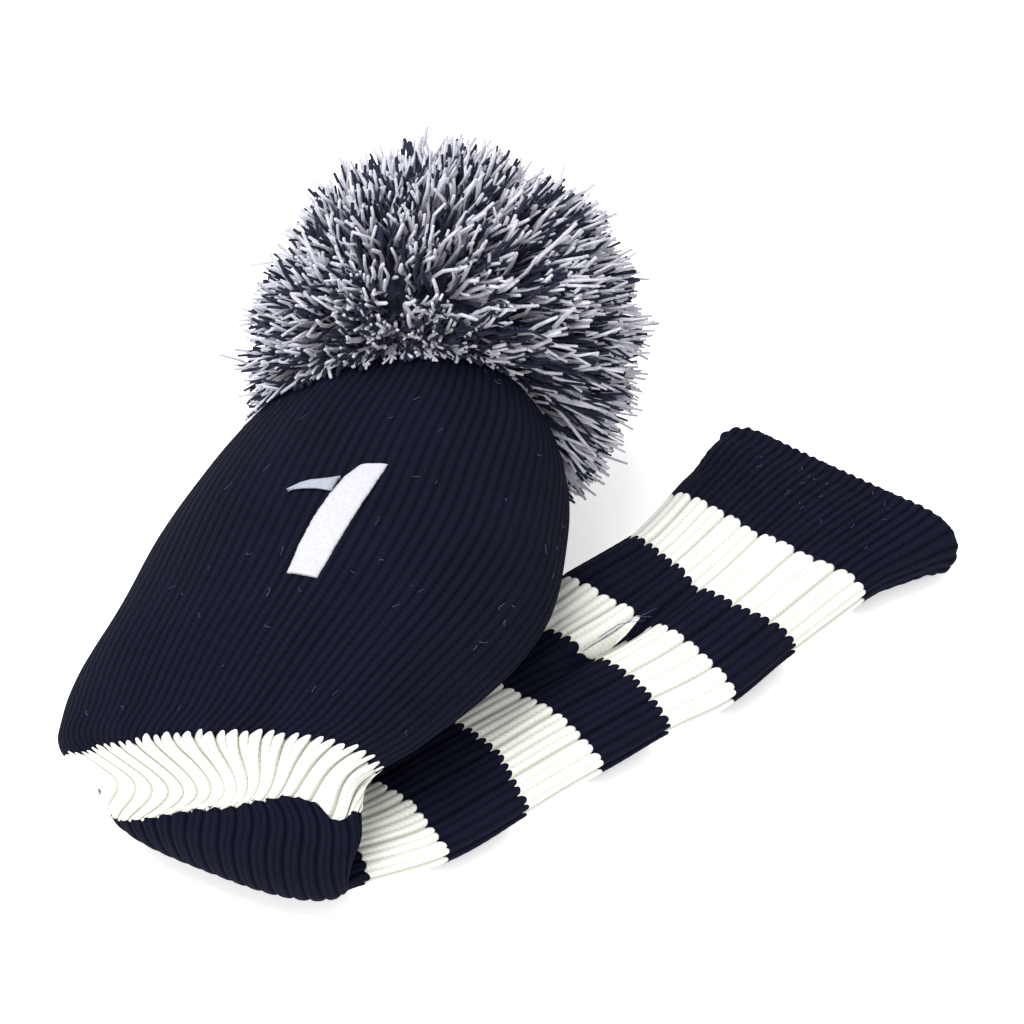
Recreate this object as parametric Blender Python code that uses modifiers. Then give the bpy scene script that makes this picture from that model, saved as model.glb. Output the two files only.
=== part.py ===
"""Knitted driver head cover lying on its side, its head pocket folded over its striped neck.

Metres, +X along the neck towards the cuff, +Z up, floor at z = 0.
"""

import math

import bmesh
import bpy
import numpy as np
from mathutils import Matrix, Vector

# ---------------------------------------------------------------- driving dimensions
HEAD_LENGTH = 0.1565  # fold line to crown opening, in plan
HEAD_WIDTH = 0.120
HEAD_HEIGHT = 0.068
NECK_LENGTH = 0.226  # fold line to cuff mouth
NECK_WIDTH = 0.062
NECK_THICKNESS = 0.017
POM_DIAMETER = 0.124
WALL = 0.0020  # one layer of double knit
LINING = 0.0012
HEM = 0.0016
SATIN = 0.0008
BACKING = 0.0005
CORD_RADIUS = 0.0012

# ---------------------------------------------------------------- clearances
GAP = 0.0003  # between pieces that touch
FOLD_GAP = 0.0010  # between the two layers at the fold
FLATTEN = 0.0007  # how far a band's underside is pressed flat
PATCH_LIFT = 0.0005  # embroidery above the facets of the shell
LINING_DROP = WALL + BACKING + 4 * GAP

# ---------------------------------------------------------------- layout
FOLD_X = -0.104
FOLD_Y = -0.048
FOLD_HEADING = -58.0  # degrees, direction of the fold line in plan
HEAD_HEADING = 31.0
RADIUS = (NECK_THICKNESS + FOLD_GAP) / 2  # of the centre line round the fold
FOLD_Z = NECK_THICKNESS + FOLD_GAP / 2
RING_POINTS = 32
BODY_SQUARE = 2.2  # superellipse power, 2 is an ellipse

# Head sections, crown opening to the white band: share of the length, share of the half width
# to the side, rise above the neck as a share of the height, heading, lean and roll in degrees,
# then shares of half width, top height and under height, and the section's squareness.
HEAD_SECTIONS = (
    (1.000, 0.00, 0.500, -58, 10, 8, 0.06, 0.05, 0.05, 2.0),
    (0.979, -0.02, 0.493, -58, 10, 8, 0.30, 0.20, 0.17, 2.0),
    (0.952, -0.02, 0.478, -59, 9, 8, 0.49, 0.32, 0.27, 2.0),
    (0.900, 0.03, 0.441, -60, 8, 8, 0.66, 0.45, 0.38, 2.0),
    (0.797, 0.05, 0.368, -61, 7, 8, 0.82, 0.53, 0.44, 2.1),
    (0.663, 0.03, 0.309, -58, 6, 8, 0.935, 0.56, 0.44, 2.1),
    (0.497, 0.03, 0.250, -55, 8, 8, 1.00, 0.56, 0.40, 2.2),
    (0.343, 0.00, 0.206, -52, 11, 9, 0.99, 0.50, 0.29, 2.2),
    (0.212, -0.08, 0.176, -51, 15, 10, 0.95, 0.41, 0.19, 2.2),
    (0.114, -0.13, 0.155, -50, 20, 12, 0.88, 0.335, 0.13, 2.2),
    (0.040, -0.18, 0.118, -51, 25, 13, 0.76, 0.28, 0.10, 2.2),
)
# Roll sections: degrees round the fold line, heading, share of the neck's half width.
ROLL_SECTIONS = (
    (60, -56, 1.17),
    (20, -57, 1.14),
    (-25, -59, 1.13),
    (-80, -61, 1.11),
)
ROLL_UNDER = 0.78  # the inner side of the roll keeps clear of the fold line
# Neck sections: share of the length, share of the length to the side, heading,
# shares of half width and of half thickness, squareness.
NECK_SECTIONS = (
    (0.106, -0.049, -66, 1.03, 1.000, 2.4),
    (0.230, -0.058, -70, 1.00, 1.000, 2.4),
    (0.354, -0.064, -72, 1.00, 1.035, 2.4),
    (0.460, -0.073, -73, 1.00, 1.090, 2.4),
    (0.566, -0.082, -75, 1.03, 1.150, 2.5),
    (0.708, -0.071, -81, 1.03, 1.180, 2.5),
    (0.850, -0.049, -82, 1.13, 1.240, 2.6),
    (0.938, -0.044, -79, 1.23, 1.350, 2.8),
    (1.000, -0.040, -77, 1.27, 1.250, 2.8),
)
BAND_TOP = len(HEAD_SECTIONS) - 1  # section where the shell meets the white band
BAND_END = BAND_TOP + 1
ROLL_END = BAND_END + len(ROLL_SECTIONS) - 1
MOUTH = ROLL_END + len(NECK_SECTIONS)

# ---------------------------------------------------------------- scene
for old in list(bpy.data.objects):
    bpy.data.objects.remove(old, do_unlink=True)
parts = bpy.data.collections.new("driver_head_cover")
cutters = bpy.data.collections.new("cutters")
bpy.context.scene.collection.children.link(parts)
bpy.context.scene.collection.children.link(cutters)


def material(name, colour, roughness):
    made = bpy.data.materials.new(name)
    made.use_nodes = True
    made.diffuse_color = (*colour, 1.0)
    shader = made.node_tree.nodes["Principled BSDF"]
    shader.inputs["Base Color"].default_value = (*colour, 1.0)
    shader.inputs["Roughness"].default_value = roughness
    shader.inputs["Metallic"].default_value = 0.0
    return made


NAVY_KNIT = material("navy_acrylic_knit", (0.010, 0.012, 0.025), 0.95)
WHITE_KNIT = material("white_acrylic_knit", (0.87, 0.87, 0.84), 0.95)
NAVY_FLEECE = material("navy_fleece", (0.014, 0.016, 0.030), 1.0)
WHITE_SATIN = material("white_satin_thread", (0.93, 0.92, 0.95), 0.55)
GREY_SATIN = material("grey_satin_thread", (0.58, 0.62, 0.68), 0.55)
BACKING_FELT = material("white_stabiliser", (0.80, 0.80, 0.80), 1.0)
BUTTON_PLASTIC = material("navy_nylon_button", (0.012, 0.013, 0.028), 0.40)
NAVY_CORD = material("navy_twisted_cord", (0.010, 0.012, 0.025), 0.85)
YARN_MIX = material("navy_grey_yarn", (0.18, 0.18, 0.22), 1.0)


def add(name, mesh, finish, collection=parts):
    made = bpy.data.objects.new(name, mesh)
    if finish is not None:
        mesh.materials.append(finish)
    collection.objects.link(made)
    return made


def smooth_mesh(bm, name):
    bmesh.ops.recalc_face_normals(bm, faces=bm.faces)
    mesh = bpy.data.meshes.new(name)
    bm.to_mesh(mesh)
    bm.free()
    return mesh


# ---------------------------------------------------------------- the knitted tube's path
def head_section(values):
    along, side, rise, heading, lean, roll, width, top, under, square = values
    turn = math.radians(HEAD_HEADING)
    forward = along * HEAD_LENGTH
    right = side * HEAD_WIDTH / 2
    x = FOLD_X + forward * math.cos(turn) + right * math.sin(turn)
    y = FOLD_Y + forward * math.sin(turn) - right * math.cos(turn)
    z = NECK_THICKNESS + rise * HEAD_HEIGHT
    sizes = (width * HEAD_WIDTH / 2, top * HEAD_HEIGHT, under * HEAD_HEIGHT)
    return (x, y, z, heading, lean, roll, *sizes, square)


def roll_section(values):
    angle, heading, width = values
    out = RADIUS * math.cos(math.radians(angle))
    away = math.radians(heading - 90)
    x = FOLD_X + out * math.cos(away)
    y = FOLD_Y + out * math.sin(away)
    z = FOLD_Z + RADIUS * math.sin(math.radians(angle))
    half = NECK_THICKNESS / 2
    sizes = (width * NECK_WIDTH / 2, half, ROLL_UNDER * half)
    return (x, y, z, heading, 90 - angle, 3, *sizes, BODY_SQUARE)


def neck_section(values):
    along, side, heading, width, thick, square = values
    half = thick * NECK_THICKNESS / 2
    place = (FOLD_X + along * NECK_LENGTH, FOLD_Y + side * NECK_LENGTH, half - FLATTEN)
    return (*place, heading, 180, 0, width * NECK_WIDTH / 2, half, half, square)


SECTIONS = np.array(
    [head_section(values) for values in HEAD_SECTIONS]
    + [roll_section(values) for values in ROLL_SECTIONS]
    + [neck_section(values) for values in NECK_SECTIONS]
)


def section_at(place):
    """The section at a fractional index, on a Catmull-Rom curve through all of them."""
    last = len(SECTIONS) - 1
    index = min(int(place), last - 1)
    part = place - index
    a = SECTIONS[max(index - 1, 0)]
    b = SECTIONS[index]
    c = SECTIONS[index + 1]
    d = SECTIONS[min(index + 2, last)]
    cubic = 2 * b + (c - a) * part + (2 * a - 5 * b + 4 * c - d) * part**2
    return 0.5 * (cubic + (3 * b - a - 3 * c + d) * part**3)


def axes(section):
    """Centre, direction of travel, right hand and outward direction of a section."""
    heading, lean, roll = np.radians(section[3:6])
    side = np.array([math.cos(heading), math.sin(heading), 0.0])
    ahead = np.array([math.sin(heading), -math.cos(heading), 0.0])
    up = np.array([0.0, 0.0, 1.0])
    travel = ahead * math.cos(lean) - up * math.sin(lean)
    out = up * math.cos(lean) + ahead * math.sin(lean)
    right = side * math.cos(roll) + out * math.sin(roll)
    top = out * math.cos(roll) - side * math.sin(roll)
    return section[:3], travel, right, top


def outline(section, angles, grow=0.0, lift=0.0):
    """Points round a section, pressed flat where they would pass below the floor."""
    centre, _, right, top = axes(section)
    half, over, under, square = section[6:10]
    across = np.cos(angles)
    height = np.sin(angles)
    x = np.sign(across) * np.abs(across) ** (2 / square) * (half + grow)
    y = np.sign(height) * np.abs(height) ** (2 / square)
    y = y * (np.where(height > 0, over + lift, under) + grow)
    points = centre + np.outer(x, right) + np.outer(y, top)
    points[:, 2] = np.maximum(points[:, 2], 0.0)
    return points


def outward(place, angles):
    """The surface's outward direction at each point of a section."""
    step, turn = 0.02, 0.03
    low = max(place - step, 0.0)
    high = min(place + step, len(SECTIONS) - 1)
    along = outline(section_at(high), angles) - outline(section_at(low), angles)
    section = section_at(place)
    around = outline(section, angles + turn) - outline(section, angles - turn)
    normal = np.cross(around, along)
    normal /= np.linalg.norm(normal, axis=1)[:, None]
    travel = axes(section)[1]
    middle = outline(section, angles) - section[:3]
    middle -= np.outer(middle @ travel, travel)
    facing = np.sign(np.sum((normal * middle).sum(axis=1)))
    return normal * facing


def loft(name, loops, closed=False):
    """A solid through unlike loops in turn: capped at its ends, or closed on itself."""
    bm = bmesh.new()
    rows = [[bm.verts.new(point) for point in loop] for loop in loops]
    count = len(rows[0])
    pairs = list(zip(rows, rows[1:]))
    if closed:
        pairs.append((rows[-1], rows[0]))
    for first, second in pairs:
        for i in range(count):
            j = (i + 1) % count
            bm.faces.new((first[i], first[j], second[j], second[i]))
    if not closed:
        bm.faces.new(rows[0])
        bm.faces.new(rows[-1])
    return smooth_mesh(bm, name)


def sleeve(name, start, end, finish, drop=0.0, wall=WALL, rings_per_section=2):
    """One knitted layer between two places on the path, its outside below the path's surface."""
    angles = np.arange(RING_POINTS) * 2 * math.pi / RING_POINTS
    count = max(3, round((end - start) * rings_per_section) + 1)
    outer = []
    inner = []
    for place in np.linspace(start, end, count):
        ring = outline(section_at(place), angles)
        normal = outward(place, angles)
        outer.append(ring - drop * normal)
        inner.append(ring - (drop + wall) * normal)
    return add(name, loft(name, outer + inner[::-1], closed=True), finish)


def trim(place, sign):
    """The place moved half a gap along the path, away from the neighbouring band."""
    near = section_at(place)[:3]
    far = section_at(place + sign * 0.05)[:3]
    return place + sign * 0.05 * (GAP / 2) / np.linalg.norm(far - near)


# ---------------------------------------------------------------- head shell and its lining
crown_shell = sleeve("crown_shell", 0, trim(BAND_TOP, -1), NAVY_KNIT)
crown_lining = sleeve(
    "crown_lining", 2.0, BAND_TOP - 1.5, NAVY_FLEECE, LINING_DROP, LINING, 1.5
)

# ---------------------------------------------------------------- striped bands
sleeve("band_white_1", trim(BAND_TOP, 1), trim(BAND_END, -1), WHITE_KNIT, rings_per_section=5)
sleeve("band_navy_1", trim(BAND_END, 1), trim(ROLL_END, -1), NAVY_KNIT, rings_per_section=3)
STRIPES = ("band_white_2", "band_navy_2", "band_white_3", "band_navy_3")
STRIPES += ("band_white_4", "band_navy_4", "band_white_5")
for number, stripe in enumerate(STRIPES):
    knit = WHITE_KNIT if "white" in stripe else NAVY_KNIT
    place = ROLL_END + number
    sleeve(stripe, trim(place, 1), trim(place + 1, -1), knit, rings_per_section=3)

# ---------------------------------------------------------------- cuff and its turned hem
CUFF_START = ROLL_END + len(STRIPES)
HEM_INSET = 0.06  # of a section, the hem's edge behind the mouth
sleeve("cuff_navy", trim(CUFF_START, 1), MOUTH, NAVY_KNIT)
sleeve("cuff_hem", CUFF_START + 0.3, MOUTH - HEM_INSET, NAVY_KNIT, WALL + GAP, HEM)


# ---------------------------------------------------------------- embroidered numeral
def patch(name, rows, finish, lift, thickness, columns=3):
    """A strip on the shell: rows of (place, left angle, right angle), solid away from the shell."""
    bm = bmesh.new()
    bmesh.ops.create_grid(bm, x_segments=columns, y_segments=len(rows) - 1, size=0.5)
    bm.verts.ensure_lookup_table()
    for vert in bm.verts:
        row = (vert.co.y + 0.5) * (len(rows) - 1)
        place, left, right = rows[round(row)]
        angle = np.radians([left + (right - left) * (vert.co.x + 0.5)])
        vert.co = outline(section_at(place), angle)[0]
    bm.normal_update()
    if sum(face.normal.z for face in bm.faces) < 0:
        bmesh.ops.reverse_faces(bm, faces=bm.faces)
    mesh = bpy.data.meshes.new(name)
    bm.to_mesh(mesh)
    bm.free()
    made = add(name, mesh, finish)
    rise = made.modifiers.new("lift", "DISPLACE")
    rise.strength = lift
    rise.mid_level = 0.0
    skin = made.modifiers.new("thread", "SOLIDIFY")
    skin.thickness = thickness
    skin.offset = 1.0
    return made


STEM_ROWS = (
    (7.05, 88.0, 82.0),
    (6.55, 88.5, 82.5),
    (6.15, 88.5, 82.0),
    (5.85, 87.5, 80.5),
    (5.62, 84.0, 78.0),
)
FLAG_ROWS = (
    (6.00, 100.0, 89.5),
    (5.81, 98.6, 88.7),
)
BACKING_ROWS = (
    (7.25, 103.0, 77.0),
    (6.65, 103.0, 76.0),
    (6.05, 104.0, 75.0),
    (5.45, 104.0, 74.0),
)
patch("numeral_stem", STEM_ROWS, WHITE_SATIN, PATCH_LIFT, SATIN)
patch("numeral_flag", FLAG_ROWS, GREY_SATIN, PATCH_LIFT, SATIN, columns=4)
BACKING_DROP = -(WALL + GAP + BACKING)
patch("numeral_backing", BACKING_ROWS, BACKING_FELT, BACKING_DROP, BACKING, columns=5)

# ---------------------------------------------------------------- crown closure and pom-pom tie
CROWN, crown_travel, _, _ = axes(section_at(0))
CROWN = Vector(CROWN)
TIE = -Vector(crown_travel)  # out of the crown, towards the pom-pom
ALONG_TIE = Matrix.Translation(CROWN) @ TIE.to_track_quat("Z", "Y").to_matrix().to_4x4()
TIE_LENGTH = 0.009  # crown opening to the middle of the yarn
CROWN_DROP = HEAD_LENGTH * (HEAD_SECTIONS[0][0] - HEAD_SECTIONS[1][0])
BUTTON_DEPTH = WALL + CROWN_DROP + GAP  # under the crown, clear of its curve
BUTTON_THICKNESS = 0.0020
BUTTON_RADIUS = 0.0085
BUTTON_HOLE = CORD_RADIUS + 0.0014
KNOT_RADIUS = 0.0032
DRAW_RADIUS = 0.0034
DRAW_CORD = 0.0008
BINDING_RADIUS = 0.0040
BINDING_CORD = 0.0012
KNOT_TOP = BUTTON_DEPTH + BUTTON_THICKNESS + GAP


def cylinder(bm, radius, low, high, sides=24):
    middle = Matrix.Translation((0, 0, (low + high) / 2))
    bmesh.ops.create_cone(
        bm,
        cap_ends=True,
        segments=sides,
        radius1=radius,
        radius2=radius,
        depth=high - low,
        matrix=ALONG_TIE @ middle,
    )


def cord_ring(name, radius, thickness, height, finish):
    """A closed loop of cord round the tie, swept as a round profile."""
    curve = bpy.data.curves.new(name, "CURVE")
    curve.dimensions = "3D"
    curve.bevel_depth = thickness
    curve.bevel_resolution = 1
    curve.resolution_u = 5
    line = curve.splines.new("BEZIER")
    line.bezier_points.add(3)
    handle = radius * 0.5523
    for i, point in enumerate(line.bezier_points):
        turn = math.pi / 2 * i
        spot = Vector((math.cos(turn), math.sin(turn), 0)) * radius
        lead = Vector((-math.sin(turn), math.cos(turn), 0)) * handle
        rise = Vector((0, 0, height))
        point.co = ALONG_TIE @ (spot + rise)
        point.handle_left = ALONG_TIE @ (spot - lead + rise)
        point.handle_right = ALONG_TIE @ (spot + lead + rise)
    line.use_cyclic_u = True
    return add(name, curve, finish)


bm = bmesh.new()
cylinder(bm, BUTTON_RADIUS, -BUTTON_DEPTH - BUTTON_THICKNESS, -BUTTON_DEPTH)
button = add("pom_anchor_button", smooth_mesh(bm, "pom_anchor_button"), BUTTON_PLASTIC)
bm = bmesh.new()
cylinder(bm, BUTTON_HOLE, -2 * KNOT_TOP, TIE_LENGTH, 16)
hole = add("button_hole", smooth_mesh(bm, "button_hole"), None, cutters)

bm = bmesh.new()
cylinder(bm, CORD_RADIUS, -KNOT_TOP + GAP, TIE_LENGTH + BINDING_CORD, 12)
add("pom_tie_cord", smooth_mesh(bm, "pom_tie_cord"), NAVY_CORD)

bm = bmesh.new()
knot_centre = Matrix.Translation((0, 0, -KNOT_TOP - KNOT_RADIUS))
bmesh.ops.create_icosphere(
    bm, subdivisions=2, radius=KNOT_RADIUS, matrix=ALONG_TIE @ knot_centre
)
add("pom_tie_knot", smooth_mesh(bm, "pom_tie_knot"), NAVY_CORD)

cord_ring("crown_draw_cord", DRAW_RADIUS, DRAW_CORD, DRAW_CORD + 2 * GAP, NAVY_CORD)
cord_ring("pom_binding_loop", BINDING_RADIUS, BINDING_CORD, TIE_LENGTH, NAVY_CORD)

# ---------------------------------------------------------------- pom-pom
POM_RADIUS = POM_DIAMETER / 2
POM_SETTLE = 0.001  # how far the strands sink where they rest
POM_AHEAD = 0.007  # ball's middle in front of the crown opening
POM_SPREAD = 0.12  # extra length of the strands pushed back and down round the crown
POM_SPREAD_OVER = 0.7  # of the radius, how far back the extra length builds up
POM_SAG = 0.5  # how much of it falls below the middle
RECESS_RADIUS = 0.0066
RECESS_DEPTH = 0.0032
CROWN_CLEAR = 0.0030
CROWN_FLARE = 0.30  # growth of the room round the crown per length behind its opening
CROWN_FLARE_TOP = 0.25  # extra on top, where the crown pushes the strands up
heading = math.radians(HEAD_HEADING)
pom_middle = Vector((CROWN.x + POM_AHEAD * math.cos(heading), 0, POM_RADIUS - POM_SETTLE))
pom_middle.y = CROWN.y + POM_AHEAD * math.sin(heading)


def yarn_ball(name):
    """The ball of yarn, longer towards the crown and flat where it rests."""
    bm = bmesh.new()
    bmesh.ops.create_uvsphere(bm, u_segments=36, v_segments=20, radius=1.0)
    for vert in bm.verts:
        back = -vert.co.dot(TIE) - vert.co.z * POM_SAG
        share = min(max(back / POM_SPREAD_OVER, 0.0), 1.0)
        reach = 1 + POM_SPREAD * share * share * (3 - 2 * share)
        vert.co = pom_middle + vert.co * POM_RADIUS * reach
        vert.co.z = max(vert.co.z, 0.0)
    return smooth_mesh(bm, name)


def flared_crown(name):
    """The crown and the cone behind it that the strands leave open, wider on top."""
    angles = np.arange(RING_POINTS) * 2 * math.pi / RING_POINTS
    rings = []
    for place in (0.0, 0.5, 1.0, 1.5, 2.0, 2.5, 3.0, 3.5, 4.0, 4.5, 5.0, 5.5, 6.0):
        section = section_at(place)
        behind = float(np.linalg.norm(section[:3] - section_at(0)[:3]))
        reach = CROWN_CLEAR + behind * CROWN_FLARE
        shift = np.array(TIE) * CROWN_CLEAR
        rings.append(outline(section, angles, reach, behind * CROWN_FLARE_TOP) + shift)
    return loft(name, rings)


def half_space(name, low, high):
    bm = bmesh.new()
    middle = ALONG_TIE @ Matrix.Translation((0, 0, (low + high) / 2))
    size = Matrix.Diagonal((4 * POM_DIAMETER, 4 * POM_DIAMETER, high - low, 1))
    bmesh.ops.create_cube(bm, size=1.0, matrix=middle @ size)
    return add(name, smooth_mesh(bm, name), None, cutters)


def cut(target, cutter):
    made = target.modifiers.new(cutter.name, "BOOLEAN")
    made.operation = "DIFFERENCE"
    made.solver = "EXACT"
    made.object = cutter


crown_room = add("crown_room", flared_crown("crown_room"), None, cutters)
beyond = half_space("beyond_tie", TIE_LENGTH - GAP / 2, 2 * POM_DIAMETER)
behind = half_space("behind_tie", -2 * POM_DIAMETER, TIE_LENGTH + GAP / 2)
bm = bmesh.new()
cylinder(bm, RECESS_RADIUS, -POM_RADIUS, TIE_LENGTH + RECESS_DEPTH)
recess = add("tie_recess", smooth_mesh(bm, "tie_recess"), None, cutters)

pom_crown_half = add("pom_yarn_crown_half", yarn_ball("pom_yarn_crown_half"), YARN_MIX)
pom_outer_half = add("pom_yarn_outer_half", yarn_ball("pom_yarn_outer_half"), YARN_MIX)
cut(button, hole)
cut(pom_crown_half, crown_room)
cut(pom_crown_half, beyond)
cut(pom_crown_half, recess)
cut(pom_outer_half, behind)
cut(pom_outer_half, recess)

for cutter in cutters.objects:
    cutter.hide_render = True
    cutter.display_type = "WIRE"
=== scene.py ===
import math

import bmesh
import bpy
import numpy as np
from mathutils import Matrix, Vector


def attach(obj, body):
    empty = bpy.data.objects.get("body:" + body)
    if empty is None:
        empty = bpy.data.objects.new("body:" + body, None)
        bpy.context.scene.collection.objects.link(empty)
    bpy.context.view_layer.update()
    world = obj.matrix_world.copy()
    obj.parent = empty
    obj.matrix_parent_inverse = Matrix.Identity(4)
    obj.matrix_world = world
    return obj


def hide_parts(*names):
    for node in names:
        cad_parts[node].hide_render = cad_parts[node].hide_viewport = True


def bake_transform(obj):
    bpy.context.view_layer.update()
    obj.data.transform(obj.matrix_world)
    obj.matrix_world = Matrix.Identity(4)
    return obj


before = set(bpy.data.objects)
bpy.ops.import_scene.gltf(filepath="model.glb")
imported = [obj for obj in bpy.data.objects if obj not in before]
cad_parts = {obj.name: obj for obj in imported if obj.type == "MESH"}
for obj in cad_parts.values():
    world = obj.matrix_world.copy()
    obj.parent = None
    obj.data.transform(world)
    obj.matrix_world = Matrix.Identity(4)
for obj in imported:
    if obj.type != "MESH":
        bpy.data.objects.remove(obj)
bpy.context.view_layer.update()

# ---------------------------------------------------------------- shell over the driver's head
# The big pocket is a tube of fine navy acrylic stockinette, knitted in the round and drawn
# together at the crown. Its wales run from the white band to the crown and meet there.
HEAD_LENGTH = 0.1565
HEAD_WIDTH = 0.120
HEAD_HEIGHT = 0.068
HEAD_HEADING = 31.0
NECK_LENGTH = 0.226
NECK_WIDTH = 0.062
NECK_THICKNESS = 0.017
FOLD_X = -0.104
FOLD_Y = -0.048
ROLL_RADIUS = 0.009  # of the tube's middle where it rolls round the fold
ROLL_HEIGHT = 0.0175
ROLL_UNDER = 0.78
FLATTEN = 0.0007  # the resting side is pressed flat by this much
# Head: share of length, of half width to the side, rise, heading, lean, roll, then the
# shares of half width, top height and under height, and how square the tube is.
HEAD_SECTIONS = (
    (1.000, 0.00, 0.500, -58, 10, 8, 0.06, 0.05, 0.05, 2.0),
    (0.979, -0.02, 0.493, -58, 10, 8, 0.30, 0.20, 0.17, 2.0),
    (0.952, -0.02, 0.478, -59, 9, 8, 0.49, 0.32, 0.27, 2.0),
    (0.900, 0.03, 0.441, -60, 8, 8, 0.66, 0.45, 0.38, 2.0),
    (0.797, 0.05, 0.368, -61, 7, 8, 0.82, 0.53, 0.44, 2.1),
    (0.663, 0.03, 0.309, -58, 6, 8, 0.935, 0.56, 0.44, 2.1),
    (0.497, 0.03, 0.250, -55, 8, 8, 1.00, 0.56, 0.40, 2.2),
    (0.343, 0.00, 0.206, -52, 11, 9, 0.99, 0.50, 0.29, 2.2),
    (0.212, -0.08, 0.176, -51, 15, 10, 0.95, 0.41, 0.19, 2.2),
    (0.114, -0.13, 0.155, -50, 20, 12, 0.88, 0.335, 0.13, 2.2),
    (0.040, -0.18, 0.118, -51, 25, 13, 0.76, 0.28, 0.10, 2.2),
)
# Roll: degrees round the fold, heading, share of the neck's half width.
ROLL_SECTIONS = ((60, -56, 1.17), (20, -57, 1.14), (-25, -59, 1.13), (-80, -61, 1.11))
# Neck: share of length, share of length to the side, heading, width, thickness, squareness.
NECK_SECTIONS = (
    (0.106, -0.049, -66, 1.03, 1.000, 2.4),
    (0.230, -0.058, -70, 1.00, 1.000, 2.4),
    (0.354, -0.064, -72, 1.00, 1.035, 2.4),
    (0.460, -0.073, -73, 1.00, 1.090, 2.4),
    (0.566, -0.082, -75, 1.03, 1.150, 2.5),
    (0.708, -0.071, -81, 1.03, 1.180, 2.5),
    (0.850, -0.049, -82, 1.13, 1.240, 2.6),
    (0.938, -0.044, -79, 1.23, 1.350, 2.8),
    (1.000, -0.040, -77, 1.27, 1.250, 2.8),
)
WALL = 0.0018  # one layer of the knit
SHELL_WALES = 92
SHELL_COLUMNS = 6  # of mesh to each wale
SHELL_ROWS = 80
WALE_RELIEF = 0.00020
COURSES = 620  # stitches to the metre of fabric
BOW_SHARE = 0.47  # of the way round, where led ribs bow most
BOW_SPAN = 0.2


def head_section(along, side, rise, heading, lean, roll, width, top, under, square):
    turn = math.radians(HEAD_HEADING)
    ahead = along * HEAD_LENGTH
    right = side * HEAD_WIDTH / 2
    x = FOLD_X + ahead * math.cos(turn) + right * math.sin(turn)
    y = FOLD_Y + ahead * math.sin(turn) - right * math.cos(turn)
    z = NECK_THICKNESS + rise * HEAD_HEIGHT
    sizes = (width * HEAD_WIDTH / 2, top * HEAD_HEIGHT, under * HEAD_HEIGHT)
    return (x, y, z, heading, lean, roll, *sizes, square)


def roll_section(angle, heading, width):
    out = ROLL_RADIUS * math.cos(math.radians(angle))
    away = math.radians(heading - 90)
    x = FOLD_X + out * math.cos(away)
    y = FOLD_Y + out * math.sin(away)
    z = ROLL_HEIGHT + ROLL_RADIUS * math.sin(math.radians(angle))
    half = NECK_THICKNESS / 2
    sizes = (width * NECK_WIDTH / 2, half, ROLL_UNDER * half)
    return (x, y, z, heading, 90 - angle, 3, *sizes, 2.2)


def neck_section(along, side, heading, width, thick, square):
    half = thick * NECK_THICKNESS / 2
    x = FOLD_X + along * NECK_LENGTH
    y = FOLD_Y + side * NECK_LENGTH
    half_width = width * NECK_WIDTH / 2
    return (x, y, half - FLATTEN, heading, 180, 0, half_width, half, half, square)


sections = np.array(
    [head_section(*row) for row in HEAD_SECTIONS]
    + [roll_section(*row) for row in ROLL_SECTIONS]
    + [neck_section(*row) for row in NECK_SECTIONS]
)
MOUTH = len(sections) - 1


def tube_sections(place):
    """The tube's sections at fractional places along it, crown 0 to mouth 23."""
    place = np.clip(place, 0, MOUTH)
    index = np.minimum(place.astype(int), MOUTH - 1)
    part = (place - index)[:, None]
    a = sections[np.maximum(index - 1, 0)]
    b = sections[index]
    c = sections[index + 1]
    d = sections[np.minimum(index + 2, MOUTH)]
    cubic = 2 * b + (c - a) * part + (2 * a - 5 * b + 4 * c - d) * part**2
    return 0.5 * (cubic + (3 * b - a - 3 * c + d) * part**3)


def tube_axes(section):
    """Centre, direction of travel, right hand and outward direction at each section."""
    heading, lean, roll = np.radians(section[:, 3:6]).T[:, :, None]
    flat = np.zeros_like(heading)
    side = np.hstack([np.cos(heading), np.sin(heading), flat])
    ahead = np.hstack([np.sin(heading), -np.cos(heading), flat])
    up = np.array([0.0, 0.0, 1.0])
    travel = ahead * np.cos(lean) - up * np.sin(lean)
    out = up * np.cos(lean) + ahead * np.sin(lean)
    right = side * np.cos(roll) + out * np.sin(roll)
    top = out * np.cos(roll) - side * np.sin(roll)
    return section[:, :3], travel, right, top


def fabric_point(place, angle):
    """Points on the outside of the tube, angle 0 at its near side and 90 degrees on top."""
    section = tube_sections(place)
    centre, _, right, top = tube_axes(section)
    half, over, under, square = section[:, 6:10].T
    across = np.cos(angle)
    height = np.sin(angle)
    x = np.sign(across) * np.abs(across) ** (2 / square) * half
    y = np.sign(height) * np.abs(height) ** (2 / square)
    y = y * np.where(height > 0, over, under)
    points = centre + x[:, None] * right + y[:, None] * top
    points[:, 2] = np.maximum(points[:, 2], 0.0)
    return points


def fabric_normal(place, angle):
    step, turn = 0.02, 0.03
    along = fabric_point(place + step, angle) - fabric_point(place - step, angle)
    around = fabric_point(place, angle + turn) - fabric_point(place, angle - turn)
    normal = np.cross(around, along)
    normal /= np.maximum(np.linalg.norm(normal, axis=1), 1e-12)[:, None]
    section = tube_sections(place)
    _, travel, _, _ = tube_axes(section)
    middle = fabric_point(place, angle) - section[:, :3]
    middle -= (middle * travel).sum(axis=1)[:, None] * travel
    facing = np.sign((normal * middle).sum(axis=1))
    return normal * facing[:, None]


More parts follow.
